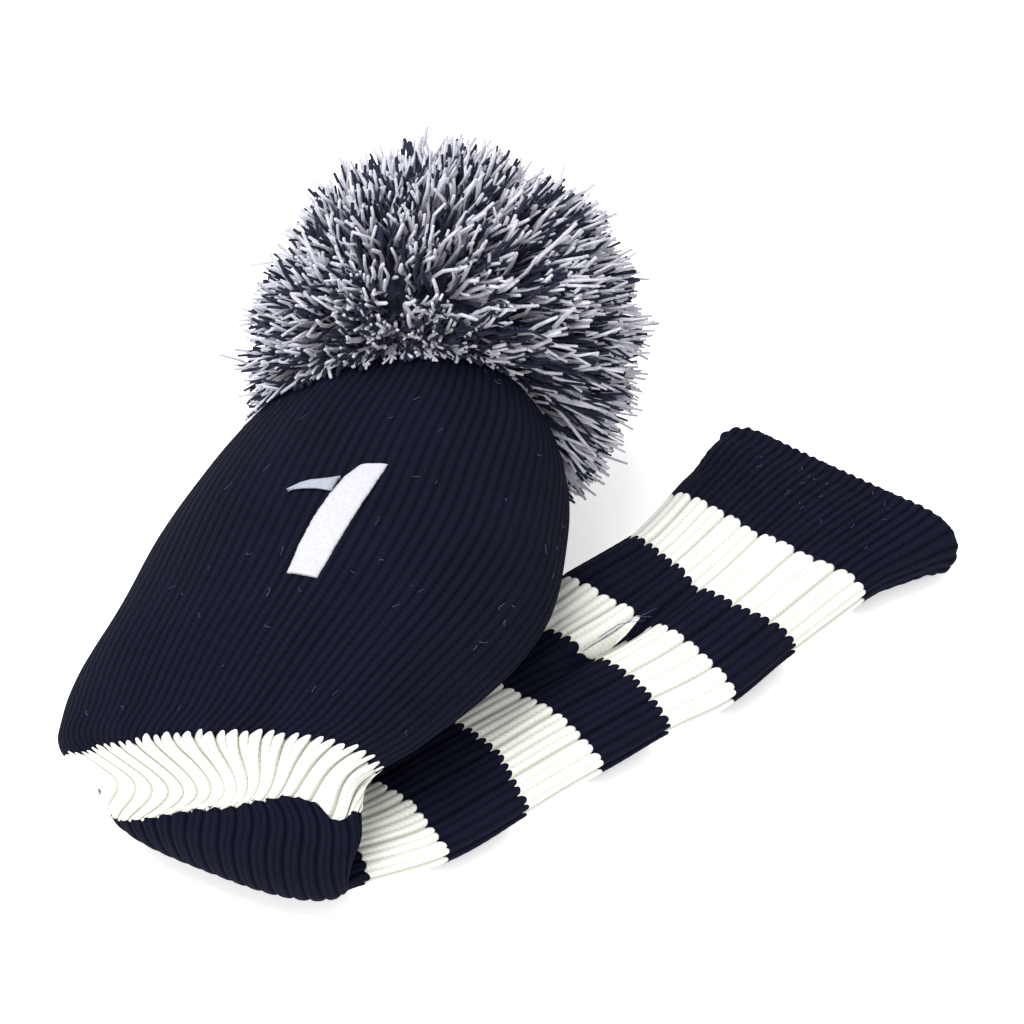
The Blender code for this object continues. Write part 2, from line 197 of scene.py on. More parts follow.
TABLE_STEP = 0.1
TABLE_TURNS = 720
table_places = np.arange(0, MOUTH + TABLE_STEP / 2, TABLE_STEP)
table_angles = np.linspace(-math.pi / 2, math.pi * 1.5, TABLE_TURNS + 1)
angle_table = []
for table_place in table_places:
    ring = fabric_point(np.full(TABLE_TURNS + 1, table_place), table_angles)
    paces = np.linalg.norm(np.diff(ring, axis=0), axis=1)
    walked = np.concatenate([[0.0], np.cumsum(paces)])
    even = np.linspace(0, walked[-1], TABLE_TURNS + 1)
    angle_table.append(np.interp(even, walked, table_angles))
angle_table = np.array(angle_table)
top_line = fabric_point(table_places, np.full(len(table_places), math.pi / 2))
top_paces = np.linalg.norm(np.diff(top_line, axis=0), axis=1)
top_length = np.concatenate([[0.0], np.cumsum(top_paces)])


def even_angle(place, share):
    """The angle at an even share of the way round, so that every wale is equally wide."""
    row = np.clip(place / TABLE_STEP, 0, len(table_places) - 1.001)
    column = np.clip(share * TABLE_TURNS, 0, TABLE_TURNS - 1e-6)
    i, j = row.astype(int), column.astype(int)
    p, q = row - i, column - j
    low = angle_table[i, j] * (1 - q) + angle_table[i, j + 1] * q
    high = angle_table[i + 1, j] * (1 - q) + angle_table[i + 1, j + 1] * q
    return low * (1 - p) + high * p


def turned_angle(place, share):
    """The even angle for a share that may pass the start of the round."""
    return even_angle(place, share % 1) + 2 * math.pi * np.floor(share)


def fabric_length(place):
    return np.interp(place, table_places, top_length)


def place_after(place, length):
    """The place that lies a length of fabric further along."""
    return np.interp(fabric_length(place) + length, top_length, table_places)


def soft_normals(normal, rows, columns):
    """Normals averaged with their neighbours, so that ribs stay whole where the tube bends."""
    grid = normal.reshape(rows + 1, columns + 1, 3)[:, :-1]
    for reach in (1, 2, 3, 4):
        above = np.concatenate([grid[1:], grid[-1:]])
        below = np.concatenate([grid[:1], grid[:-1]])
        sides = np.roll(grid, reach, axis=1) + np.roll(grid, -reach, axis=1)
        grid = grid + above + below + sides
        grid = grid / np.maximum(np.linalg.norm(grid, axis=2), 1e-12)[:, :, None]
    return np.concatenate([grid, grid[:, :1]], axis=1).reshape(-1, 3)


def new_object(name, data):
    made = bpy.data.objects.new(name, data)
    bpy.context.scene.collection.objects.link(made)
    return made


def knit_tube(name, start, end, columns, rows, wales, relief, painted_shade, twist=None, wall=WALL):
    """A stretch of the knitted tube.

    The function after the relief gives the painted shade in each hollow. A twist leads ribs from
    edge to edge.
    The groove function says how dark a hollow is. A twist leads ribs from edge to edge.
    """
    bm = bmesh.new()
    bm.loops.layers.uv.new("stitches")
    bmesh.ops.create_grid(bm, x_segments=columns, y_segments=rows, size=0.5, calc_uvs=True)
    mesh = bpy.data.meshes.new(name)
    bm.to_mesh(mesh)
    bm.free()
    flat = np.empty(len(mesh.vertices) * 3)
    mesh.vertices.foreach_get("co", flat)
    flat = flat.reshape(-1, 3)
    share = np.clip(flat[:, 0] + 0.5, 0, 1)
    along = np.clip(flat[:, 1] + 0.5, 0, 1)
    (first_place, first_level), (last_place, last_level) = start(share), end(share)
    place = first_place * (1 - along) + last_place * along
    angle = even_angle(first_level * (1 - along) + last_level * along, share)
    if twist:
        angle = turned_angle(first_level, share + twist[0]) * (1 - along)
        angle = angle + turned_angle(last_level, share + twist[1]) * along
        on_top = np.exp(-(((share - BOW_SHARE) / BOW_SPAN) ** 4))
        angle = angle - twist[2] * on_top * np.sin(math.pi * along)
    lift = relief(share, place)
    points = fabric_point(place, angle)
    normal = soft_normals(fabric_normal(place, angle), rows, columns)
    points = points + normal * lift[:, None]
    points[:, 2] = np.maximum(points[:, 2], 0.0)
    seam = share > 1 - 1e-6
    first = share < 1e-6
    points[seam] = points[first]
    mesh.vertices.foreach_set("co", points.ravel())
    # The painted shade goes to each point, for the finish to darken the hollows with.
    dark = mesh.attributes.new("painted_shade", "FLOAT", "POINT")
    dark.data.foreach_set("value", np.clip(painted_shade(share, place), 0, 1))
    stitch = np.empty(len(mesh.loops) * 2)
    layer = mesh.uv_layers["stitches"]
    layer.uv.foreach_get("vector", stitch)
    stitch = stitch.reshape(-1, 2)
    corner = np.empty(len(mesh.loops), dtype=np.int32)
    mesh.loops.foreach_get("vertex_index", corner)
    stitch[:, 0] *= wales
    stitch[:, 1] = fabric_length(place)[corner] * COURSES
    layer.uv.foreach_set("vector", stitch.ravel())
    mesh.update()
    facing = np.empty(len(mesh.polygons) * 3)
    mesh.polygons.foreach_get("normal", facing)
    agreement = (facing.reshape(-1, 3) * normal[corner[::4]]).sum()
    bm = bmesh.new()
    bm.from_mesh(mesh)
    bmesh.ops.remove_doubles(bm, verts=bm.verts, dist=1e-6)
    if agreement < 0:
        bmesh.ops.reverse_faces(bm, faces=bm.faces)
    bm.to_mesh(mesh)
    bm.free()
    mesh.shade_smooth()
    made = new_object(name, mesh)
    layer_wall = made.modifiers.new("wall", "SOLIDIFY")
    layer_wall.thickness = wall
    layer_wall.offset = -1.0
    return made


def linear(code):
    """An sRGB hex colour as the linear values that a shader takes."""
    values = [int(code[i : i + 2], 16) / 255 for i in (1, 3, 5)]
    curve = [v / 12.92 if v <= 0.04045 else ((v + 0.055) / 1.055) ** 2.4 for v in values]
    return (*curve, 1.0)


def add_node(finish, kind, inputs, **settings):
    """A node with its settings, its values and its links."""
    made = finish.node_tree.nodes.new(kind)
    for name, value in settings.items():
        setattr(made, name, value)
    for socket, value in inputs.items():
        if isinstance(value, bpy.types.NodeSocket):
            finish.node_tree.links.new(value, made.inputs[socket])
        else:
            made.inputs[socket].default_value = value
    return made


def math_node(finish, operation, *values):
    return add_node(finish, "ShaderNodeMath", dict(enumerate(values)), operation=operation)


def mixed_colour(finish, share, low, high):
    return add_node(finish, "ShaderNodeMix", {0: share, 6: low, 7: high}, data_type="RGBA")


def object_noise(finish, scale, detail, roughness=0.5):
    """Noise through the solid, on the piece's own coordinates."""
    where = add_node(finish, "ShaderNodeTexCoord", {})
    grain = {"Scale": scale, "Detail": detail, "Roughness": roughness}
    return add_node(finish, "ShaderNodeTexNoise", {"Vector": where.outputs["Object"], **grain})


def new_finish(name):
    made = bpy.data.materials.new(name)
    made.use_nodes = True
    made.node_tree.nodes.clear()
    return made


GROOVE_SHADE = 0.85


def acrylic_knit(name, deep, hollow, crest, sheen, haze, fuzz, stitch_depth):
    """Brushed acrylic yarn, knitted: V stitches in wales, soft fibre fuzz, no gloss.

    Fibres are about 0.03 mm, too fine to show, so the fuzz noise is drawn at 0.6 mm.
    """
    made = new_finish(name)
    stitches = add_node(made, "ShaderNodeUVMap", {}, uv_map="stitches")
    split = add_node(made, "ShaderNodeSeparateXYZ", {0: stitches.outputs[0]})
    wale = math_node(made, "FRACT", split.outputs[0])
    off = math_node(made, "SUBTRACT", wale.outputs[0], 0.5)
    away = math_node(made, "ABSOLUTE", off.outputs[0])
    slant = math_node(made, "MULTIPLY_ADD", away.outputs[0], 1.1, split.outputs[1])
    turns = math_node(made, "MULTIPLY", slant.outputs[0], 2 * math.pi)
    leg = math_node(made, "SINE", turns.outputs[0])
    half_turns = math_node(made, "MULTIPLY", wale.outputs[0], math.pi)
    ridge = math_node(made, "SINE", half_turns.outputs[0])
    stitch = math_node(made, "MULTIPLY_ADD", leg.outputs[0], 0.14, ridge.outputs[0])
    fibre = object_noise(made, 1700.0, 4.0, 0.7)
    patchy = object_noise(made, 60.0, 3.0, 0.6)
    height = math_node(made, "MULTIPLY_ADD", fibre.outputs[0], fuzz, stitch.outputs[0])
    shade = add_node(
        made,
        "ShaderNodeMapRange",
        {0: height.outputs[0], 1: 0.1 + fuzz * 0.2, 2: 1.1 + fuzz * 0.8},
    )
    worn = math_node(made, "MULTIPLY_ADD", patchy.outputs[0], 0.5, -0.25)
    # Painted shade: the stored attribute darkens the grooves, the pleat's slit and its bank towards
    # the deep colour.
    painted_shade = add_node(made, "ShaderNodeAttribute", {}, attribute_name="painted_shade")
    sunk = math_node(made, "MULTIPLY", painted_shade.outputs["Fac"], GROOVE_SHADE)
    mixed = math_node(made, "ADD", shade.outputs[0], worn.outputs[0])
    mixed.use_clamp = True
    # The hollow colour in the stitches' low parts is painted shade between wales and stitch legs;
    # the fibre and patchy noise in the mix are the yarn's own uneven tone.
    colour = mixed_colour(made, mixed.outputs[0], linear(hollow), linear(crest))
    shaded = mixed_colour(made, sunk.outputs[0], colour.outputs[2], linear(deep))
    raised = add_node(
        made,
        "ShaderNodeBump",
        {"Height": height.outputs[0], "Strength": 0.6, "Distance": stitch_depth},
    )
    shader = add_node(
        made,
        "ShaderNodeBsdfPrincipled",
        {
            "Base Color": shaded.outputs[2],
            "Roughness": 0.92,
            "Specular IOR Level": 0.05,
            "Sheen Weight": haze,
            "Sheen Roughness": 0.5,
            "Sheen Tint": linear(sheen),
            "Normal": raised.outputs[0],
        },
    )
    add_node(made, "ShaderNodeOutputMaterial", {0: shader.outputs[0]})
    return made


# The deep and hollow colours are painted shade, in the grooves and in the stitch hollows; the crest
# is the yarn's own colour.
navy_stockinette = acrylic_knit(
    "navy_acrylic_stockinette", "#04050d", "#080a15", "#151828", "#565c74", 0.012, 0.9, 0.0005
)

# The first colour change sits lower on the left, where the band slides over the fold.
# Degrees round the tube, and the place along it.
TOOTH_LINE = (
    (-90, 9.85), (0, 9.80), (27, 9.66), (48, 9.60), (75, 9.70), (90, 9.84),
    (109, 10.06), (133, 10.28), (183, 10.30), (225, 10.10), (270, 9.85),
)
BAND_RIBS = 35
TOOTH_LENGTH = 0.0027
BULGE = 0.0048
band_dice = np.random.default_rng(11)
tooth_lengths = band_dice.uniform(0.6, 1.0, BAND_RIBS * 2)


def place_on_line(line, share, near):
    angle = np.degrees(even_angle(np.full_like(share, near), share))
    return np.interp(angle, *np.array(line).T)


def toothed_edge(share):
    """Two narrow white stitches to each rib climb into the navy, no two equally far."""
    teeth = BAND_RIBS * 2
    tooth = share * teeth
    number = np.floor(tooth).astype(int) % teeth
    point = np.sin(math.pi * (tooth % 1)) ** 0.7
    climb = TOOTH_LENGTH * point * tooth_lengths[number]
    level = place_on_line(TOOTH_LINE, share, 9.8)
    return place_after(level, -climb), level


def roll_bulge(share, place):
    """The tube's left side hangs a little further out where it starts to roll over."""
    beside = np.exp(-(((share - 0.75) / 0.055) ** 2))
    return BULGE * beside * np.exp(-(((place - 11.2) / 0.75) ** 2))


def shell_relief(share, place):
    wale = np.abs(np.sin(math.pi * share * SHELL_WALES))
    pleat = np.exp(-(((share - 0.42) / 0.02) ** 2)) * np.exp(-(((place - 8.6) / 1.2) ** 2))
    slack = 0.0007 * np.sin(9 * share * 2 * math.pi + place) * np.sin(place * 1.1)
    gather = np.clip((3.0 - place) / 3.0, 0, 1)
    pucker = 0.0012 * gather * np.sin(share * 2 * math.pi * 17)
    folds = slack * 0.5 + pucker + roll_bulge(share, place)
    return WALE_RELIEF * (wale - 1) - 0.0012 * pleat + folds


def shell_gap_shade(share, place):
    """Painted shade in the gaps between wales. The wales draw together here and there, and the shade
    is deeper where a few of the gaps between them open.
    """
    gap = 1 - np.abs(np.sin(math.pi * share * SHELL_WALES)) ** 0.5
    opened = 0.32 + 0.30 * np.sin(37 * share + 2.1 * place) * np.sin(11 * share - 1.3 * place)
    return gap * opened


head_shell = knit_tube(
    "head_shell_knit",
    lambda share: (np.full_like(share, 0.05), np.full_like(share, 0.05)),
    toothed_edge,
    SHELL_WALES * SHELL_COLUMNS,
    SHELL_ROWS,
    SHELL_WALES,
    shell_relief,
    shell_gap_shade,
)
head_shell.data.materials.append(navy_stockinette)
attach(head_shell, "head")
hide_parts("crown_shell")

# ---------------------------------------------------------------- first white band
# A broad band of white acrylic rib, two stitches to a rib, takes the shell down to the neck's
# width. Its first stitches climb into the navy as points, and its last end in rounded bumps.
BAND_RELIEF = 0.0017
BAND_END_LINE = (
    (-90, 10.5), (0, 10.5), (18, 10.62), (30, 10.86), (36, 10.82), (44, 10.62), (58, 10.62),
    (78, 10.87), (93, 11.17), (105, 11.42), (116, 11.66), (127, 11.92), (150, 12.45),
    (180, 12.5), (215, 11.5), (270, 10.5),
)
BUMP_LENGTH = 0.0013
BAND_TWIST = 0.05  # of the way round, by which the ribs stray to the left
BAND_WALL = 0.0006  # drawn thin, for it is seen from outside only
BAND_SWAY = 0.15  # of a radian, by which they bow to the right on their way
BAND_COLUMNS = 16  # of mesh to each rib
BAND_ROWS = 44

# The deep and hollow colours are painted shade, in the grooves and in the stitch hollows; the crest
# is the yarn's own colour.
white_rib = acrylic_knit(
    "white_acrylic_rib", "#9c9d8e", "#d2d3c8", "#f8f8f1", "#ffffff", 0.05, 0.5, 0.0004
)


def bump_edge(line, bumps, length, twist=0.0):
    """An edge of rounded stitch ends that point along the tube."""

    def edge(share):
        rounded = np.sqrt(np.abs(np.sin(math.pi * share * bumps)))
        level = place_on_line(line, (share + twist) % 1, line[0][1])
        return place_after(level, length * (rounded - 0.6)), level

    return edge


def band_relief(share, place):
    across = share * BAND_RIBS % 1
    rib = 1 - np.abs(2 * across - 1) ** 5
    between = np.exp(-(((across - 0.5) / 0.12) ** 2))
    return BAND_RELIEF * (rib - 0.8 - 0.18 * between) + roll_bulge(share, place)


# Painted shade at each rib's edges and in the dip between its two wales.
def band_groove_shade(share, place):
    across = share * BAND_RIBS % 1
    edge = np.abs(2 * across - 1) ** 7
    between = np.exp(-(((across - 0.5) / 0.07) ** 2))
    return 0.85 * edge + 0.14 * between


band_end = bump_edge(BAND_END_LINE, BAND_RIBS, -BUMP_LENGTH, BAND_TWIST)
white_band = knit_tube(
    "white_band_1_knit",
    toothed_edge,
    band_end,
    BAND_RIBS * BAND_COLUMNS,
    BAND_ROWS,
    BAND_RIBS * 2,
    band_relief,
    band_groove_shade,
    twist=(0.0, BAND_TWIST, BAND_SWAY),
    wall=BAND_WALL,
)
white_band.data.materials.append(white_rib)
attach(white_band, "head")
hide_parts("band_white_1")

# ---------------------------------------------------------------- navy band that rolls over the fold
# The next stripe is navy rib. It bends round the fold line, from lying on the head's side
# to lying on the floor's side.
ROLL_RELIEF = 0.0007
ROLL_END = 14.0
ROLL_END_LINE = (
    (-90, 14.6), (-45, 14.4), (-16, 14.2), (19, 14.15), (90, 14.0), (180, 14.1), (270, 14.6),
)
ROLL_COLUMNS = 12  # of mesh to each rib
ROLL_ROWS = 40
NECK_RIBS = 24

# The deep and hollow colours are painted shade, in the grooves and in the stitch hollows; the crest
# is the yarn's own colour.
navy_rib = acrylic_knit(
    "navy_acrylic_rib", "#05060f", "#090b16", "#16192a", "#565c74", 0.015, 0.9, 0.0005
)


def rib_profile(share, ribs, dip):
    """Height across a rib, 0 in the groove and 1 on its two wales."""
    across = share * ribs % 1
    crown = 1 - np.abs(2 * across - 1) ** 3.2
    middle = np.exp(-(((across - 0.5) / 0.10) ** 2))
    return crown - dip * middle


def roll_relief(share, place):
    rib = rib_profile(share, BAND_RIBS, 0.0)
    lump = 0.0003 * np.sin(3 * share * 2 * math.pi + 2 * place)
    return ROLL_RELIEF * (rib - 0.8) + lump + roll_bulge(share, place)


# Painted shade in the rolled band's rib grooves.
def roll_groove_shade(share, place):
    return 0.7 * (1 - rib_profile(share, BAND_RIBS, 0.0))


roll_end = bump_edge(ROLL_END_LINE, BAND_RIBS, BUMP_LENGTH)
roll_band = knit_tube(
    "navy_band_1_knit",
    band_end,
    roll_end,
    BAND_RIBS * ROLL_COLUMNS,
    ROLL_ROWS,
    BAND_RIBS * 2,
    roll_relief,
    roll_groove_shade,
    twist=(BAND_TWIST, 0.0, 0.0),
)
roll_band.data.materials.append(navy_rib)
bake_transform(roll_band)
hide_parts("band_navy_1")

# ---------------------------------------------------------------- striped neck
# The neck is ribbed acrylic in four white and three navy stripes. Each stripe's last course
# ends in rounded stitch tips. A soft valley runs along the top where the empty tube sags.
RIB_RELIEF = 0.0009
RIB_COLUMNS = 12  # of mesh to each rib
STRIPES = (
    ("white_band_2", "band_white_2"),
    ("navy_band_2", "band_navy_2"),
    ("white_band_3", "band_white_3"),
    ("navy_band_3", "band_navy_3"),
    ("white_band_4", "band_white_4"),
    ("navy_band_4", "band_navy_4"),
    ("white_band_5", "band_white_5"),
)
TIP_LENGTH = 0.0022
NECK_ROWS = 34
# Along the neck: how far round the valley lies, how deep its trough is and the slit in it.
VALLEY_LINE = (
    (14.0, 1.0), (17.0, 1.01), (18.2, 0.975), (18.8, 0.978), (19.3, 0.988), (23.0, 0.98),
)
TROUGH_DEPTH = (
    (16.6, 0.0), (17.6, 0.0014), (18.3, 0.0032), (18.9, 0.0032), (19.6, 0.0020),
    (20.7, 0.0012), (22.0, 0.0),
)
SLIT_DEPTH = (
    (17.9, 0.0), (18.25, 0.0050), (18.9, 0.0056), (19.3, 0.0016), (20.6, 0.0007), (21.2, 0.0),
)
TROUGH_WIDTH = 0.034
SLIT_WIDTH = 0.009
# The empty tube bellies out on its far side, by this much along it.
BELLY = (
    (17.8, 0.0), (18.6, 0.0042), (19.3, 0.0048), (20.1, 0.0018), (21.0, 0.0022), (21.9, 0.0012),
    (22.5, 0.0), (23.0, 0.0),
)


def from_valley(share, place):
    line = np.interp(place, *np.array(VALLEY_LINE).T)
    return (share - line + 0.5) % 1 - 0.5


def valley(share, place):
    off = from_valley(share, place)
    trough = np.exp(-((off / TROUGH_WIDTH) ** 2))
    slit = np.exp(-np.abs(off / SLIT_WIDTH) ** 1.6)
    far_bank = np.exp(-(((off + 0.045) / 0.028) ** 2))
    depth = np.interp(place, *np.array(TROUGH_DEPTH).T)
    cut = np.interp(place, *np.array(SLIT_DEPTH).T)
    belly = np.interp(place, *np.array(BELLY).T) * np.exp(-(((share - 0.79) / 0.09) ** 2))
    return -depth * (trough - 0.45 * far_bank) - cut * slit + belly


def neck_rib(share):
    """Ribs in pairs, with a deeper groove after every second one."""
    paired = 0.75 + 0.25 * np.cos(math.pi * share * NECK_RIBS)
    return 1 - (1 - rib_profile(share, NECK_RIBS, 0.2)) * paired


def neck_relief(share, place):
    rib = neck_rib(share)
    stitch = 0.03 * np.cos(2 * math.pi * fabric_length(place) * COURSES / 2)
    wander = 0.0005 * np.sin(5 * share * 2 * math.pi + 2 * place) * np.sin(1.7 * place)
    return RIB_RELIEF * (rib - 0.75 + stitch * rib) + wander + valley(share, place)


def neck_groove_shade(share, place):
    """Painted shade: dark in the grooves between pairs, and grey on the bank that turns under the
    pleat, away from the light.
    """
    paired = 0.5 + 0.5 * np.cos(math.pi * share * NECK_RIBS)
    across = share * NECK_RIBS % 1
    painted_shade = np.abs(2 * across - 1) ** 6 * (0.18 + 0.55 * paired)
    off = from_valley(share, place)
    near_slit = np.interp(place, (17.9, 18.2, 18.9, 19.3), (0, 1, 1, 0))
    bank_shade = np.exp(-(((off - 0.017) / 0.013) ** 2)) * near_slit
    return painted_shade + 0.7 * bank_shade


STRIPE_BOWS = (0.40, 0.50, 0.25, 0.36, 0.20, -0.18, -0.28)  # of a place, on top
FAR_BOWS = (0.38, 0.45, 0.20, 0.40, 0.15, 0.05, -0.30)  # of a place, on the far side
# The navy drawn into the pleat is painted shade, standing for the dark slit there.
PLEAT_SHADE_NOTCH = {18: 0.25, 19: -0.80}  # of a place: navy shows in the pleat across the white


def stripe_edge(place, top_bow, far_bow, white):
    """White ribs end as one broad rounded tip of two stitches, navy ones stitch by stitch."""
    round_line = (0, 0.1, 0.2, 0.3, 0.6, 0.75, 0.88, 1)
    between = (top_bow + far_bow) / 2
    bow_line = (top_bow, 0.8 * top_bow, 0.25 * top_bow, 0, 0, far_bow, between, top_bow)

    def edge(share):
        level = place + np.interp(share, round_line, bow_line)
        # The notch draws navy into the pleat's slit: painted shade standing for the dark slit.
        off = from_valley(share, np.full_like(share, 18.6))
        shade_notch = PLEAT_SHADE_NOTCH.get(place, 0) * np.exp(-((off / 0.0045) ** 2))
        rib = np.sqrt(np.abs(np.sin(math.pi * share * NECK_RIBS)))
        wale = np.sqrt(np.abs(np.sin(2 * math.pi * share * NECK_RIBS)))
        shape = 0.65 * rib + 0.35 * wale if white else 0.25 * rib + 0.75 * wale
        return place_after(level + shade_notch, TIP_LENGTH * (shape - 0.6)), level

    return edge


stripe_start = roll_end
for number, (stripe_name, node_name) in enumerate(STRIPES):
    is_white = "white" in stripe_name
    stripe_end = stripe_edge(
        int(ROLL_END) + number + 1, STRIPE_BOWS[number], FAR_BOWS[number], is_white
    )
    stripe = knit_tube(
        stripe_name + "_knit",
        stripe_start,
        stripe_end,
        NECK_RIBS * RIB_COLUMNS,
        NECK_ROWS,
        NECK_RIBS * 2,
        neck_relief,
        neck_groove_shade,
    )
    stripe.data.materials.append(white_rib if is_white else navy_rib)
    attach(stripe, "neck")
    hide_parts(node_name)
    stripe_start = stripe_end

# ---------------------------------------------------------------- cuff
# The cuff is a thick navy one-by-one rib that flares over the shaft. Its edge is turned
# inside and sewn down as a hem, which leaves a lumpy rounded lip.
CUFF_START = 21.0
CUFF_RIBS = 60
CUFF_RELIEF = 0.00035
CUFF_COLUMNS = 10  # of mesh to each rib
CUFF_ROWS = 60
CUFF_WALL = 0.0032  # thicker, for its edge is turned in
NEAR_CORNER = 0.22  # of a place, by which the corner is drawn back
FAR_CORNER = 0.55
LIP_LUMPS = 52
LIP_START = 22.35
LIP_RADIUS = 0.0056


def cuff_relief(share, place):
    cuff_rib = rib_profile(share, CUFF_RIBS, 0.0) - 0.7
    last_rib = neck_rib(share) - 0.75
    change = np.clip((place - CUFF_START) / 0.25, 0, 1)
    lumps = 0.4 * np.cos(2 * math.pi * fabric_length(place) * COURSES / 3)
    lumps = lumps * np.sin(math.pi * share * CUFF_RIBS * 2)
    relief = CUFF_RELIEF * (cuff_rib + lumps) * change + RIB_RELIEF * last_rib * (1 - change)
    to_lip = np.clip((place - LIP_START) / (MOUTH - LIP_START), 0, 1)
    puff = 0.0018 * np.sin(math.pi * to_lip) * (1 + 0.15 * np.sin(2 * math.pi * share * LIP_LUMPS))
    rolled_in = LIP_RADIUS * (1 - np.sqrt(1 - to_lip**2))
    sides = np.abs(np.cos(2 * math.pi * (share - 0.25))) ** 4
    full = 0.0038 * sides * np.clip((place - 21.3) / 1.2, 0, 1)
    return relief + puff - rolled_in + full + valley(share, place)


def cuff_edge(share):
    """The mouth, with its two corners drawn back and rounded."""
    corner = np.abs(np.cos(2 * math.pi * (share - 0.25))) ** 6
    place = MOUTH - corner * np.where(share > 0.5, FAR_CORNER, NEAR_CORNER)
    return place, place


cuff = knit_tube(
    "cuff_rib_knit",
    stripe_start,
    cuff_edge,
    CUFF_RIBS * CUFF_COLUMNS,
    CUFF_ROWS,
    CUFF_RIBS,
    cuff_relief,
    # Painted shade in the cuff's rib grooves.
    lambda share, place: 0.5 * (1 - rib_profile(share, CUFF_RIBS, 0.0)),
    wall=CUFF_WALL,
)
cuff.data.materials.append(navy_rib)
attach(cuff, "neck")
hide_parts("cuff_navy", "cuff_hem")

# ---------------------------------------------------------------- embroidered numeral
# The numeral is satin stitch in white thread: a slightly bowed stem, and a short flag in
# pale grey thread. Close threads run across each stroke and raise it above the knit.
# Each row goes across a stroke: place and degrees at one edge, then at the other.
STEM_ROWS = (
    (5.62, 84.5, 5.56, 77.3),
    (5.78, 87.0, 5.80, 78.6),
    (6.02, 88.5, 6.06, 79.8),
    (6.30, 89.4, 6.32, 80.5),
    (6.64, 89.6, 6.64, 81.1),
    (7.02, 89.0, 7.06, 81.4),
)
FLAG_ROWS = (
    (6.000, 98.6, 6.015, 98.4),
    (5.900, 96.0, 5.990, 96.2),
    (5.860, 94.0, 5.975, 94.0),
    (5.830, 91.0, 5.965, 91.2),
    (5.780, 88.0, 5.980, 88.4),
)
THREAD_PITCH = 0.00045
SATIN_RISE = 0.0009


def satin_thread(name, hollow, crest):
    """Rayon embroidery thread, laid side by side: a soft gloss that runs with the thread."""
    made = new_finish(name)
    laid = add_node(made, "ShaderNodeUVMap", {}, uv_map="stitches")
    split = add_node(made, "ShaderNodeSeparateXYZ", {0: laid.outputs[0]})
    turns = math_node(made, "MULTIPLY", split.outputs[1], 2 * math.pi)
    thread = math_node(made, "SINE", turns.outputs[0])
    uneven = object_noise(made, 900.0, 2.0)
    height = math_node(made, "MULTIPLY_ADD", thread.outputs[0], 0.35, uneven.outputs[0])
    # The colour darkens between the threads: painted shade; the noise is the thread's own uneven
    # tone.
    colour = mixed_colour(made, height.outputs[0], linear(hollow), linear(crest))
    raised = add_node(
        made,
        "ShaderNodeBump",
        {"Height": height.outputs[0], "Strength": 0.4, "Distance": 0.0002},
    )
    shader = add_node(
        made,
        "ShaderNodeBsdfPrincipled",
        {
            "Base Color": colour.outputs[2],
            "Roughness": 0.5,
            "Specular IOR Level": 0.35,
            "Sheen Weight": 0.1,
            "Normal": raised.outputs[0],
        },
    )
    add_node(made, "ShaderNodeOutputMaterial", {0: shader.outputs[0]})
    return made


def satin_stroke(name, rows, node_name, finish, columns, lines):
    """One stroke of the numeral: a domed strip on the shell with threads across it."""
    bm = bmesh.new()
    bm.loops.layers.uv.new("stitches")
    bmesh.ops.create_grid(bm, x_segments=columns, y_segments=lines, size=0.5, calc_uvs=True)
    table = np.array(rows)
    steps = np.linspace(0, 1, len(rows))
    ends = fabric_point(table[[0, -1], 0], np.radians(table[[0, -1], 1]))
    length = float(np.linalg.norm(ends[1] - ends[0])) / THREAD_PITCH
    layer = bm.loops.layers.uv["stitches"]
    dice = np.random.default_rng(5)
    ragged = dice.uniform(-0.009, 0.009, (lines + 1, 2))
    for vert in bm.verts:
        u, v = vert.co.x + 0.5, vert.co.y + 0.5
        first = np.array([np.interp(v, steps, table[:, k]) for k in (0, 1)])
        last = np.array([np.interp(v, steps, table[:, k]) for k in (2, 3)])
        line = round(v * lines)
        across = u + ragged[line, 0] * (1 - u) + ragged[line, 1] * u
        place, degrees = first + (last - first) * across
        angle = np.radians([degrees])
        spot = np.array([place])
        round_over = min(u, 1 - u, 0.25) / 0.25
        dome = SATIN_RISE * (0.35 + 0.65 * math.sqrt(round_over)) + 0.0002
        vert.co = (fabric_point(spot, angle) + fabric_normal(spot, angle) * dome)[0]
    for face in bm.faces:
        for loop in face.loops:
            loop[layer].uv.y *= length
    bm.normal_update()
    if sum(face.normal.z for face in bm.faces) < 0:
        bmesh.ops.reverse_faces(bm, faces=bm.faces)
    mesh = bpy.data.meshes.new(name)
    bm.to_mesh(mesh)
    bm.free()
    mesh.shade_smooth()
    mesh.materials.append(finish)
    made = new_object(name, mesh)
    base = made.modifiers.new("base", "SOLIDIFY")
    base.thickness = SATIN_RISE
    base.offset = -1.0
    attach(made, "head")
    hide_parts(node_name)


# The hollow colours are painted shade between the threads.
white_satin = satin_thread("white_rayon_satin_stitch", "#aeaeb6", "#ccccd4")
grey_satin = satin_thread("grey_rayon_satin_stitch", "#868e9a", "#a9b0bb")
satin_stroke(
    "numeral_stem_stitching", STEM_ROWS, "numeral_stem", white_satin, 16, 80
)
satin_stroke("numeral_flag_stitching", FLAG_ROWS, "numeral_flag", grey_satin, 40, 8)

# ---------------------------------------------------------------- lint and loose fibres
# Acrylic knit sheds. Short blue-grey fibres cling to the shell and the cuff, and three longer
# ones have worked out of the pleat. Each is a thin bent hair that lies on the fabric.
LINT = 70
LINT_RADIUS = 0.00007
LOOSE_RADIUS = 0.00016


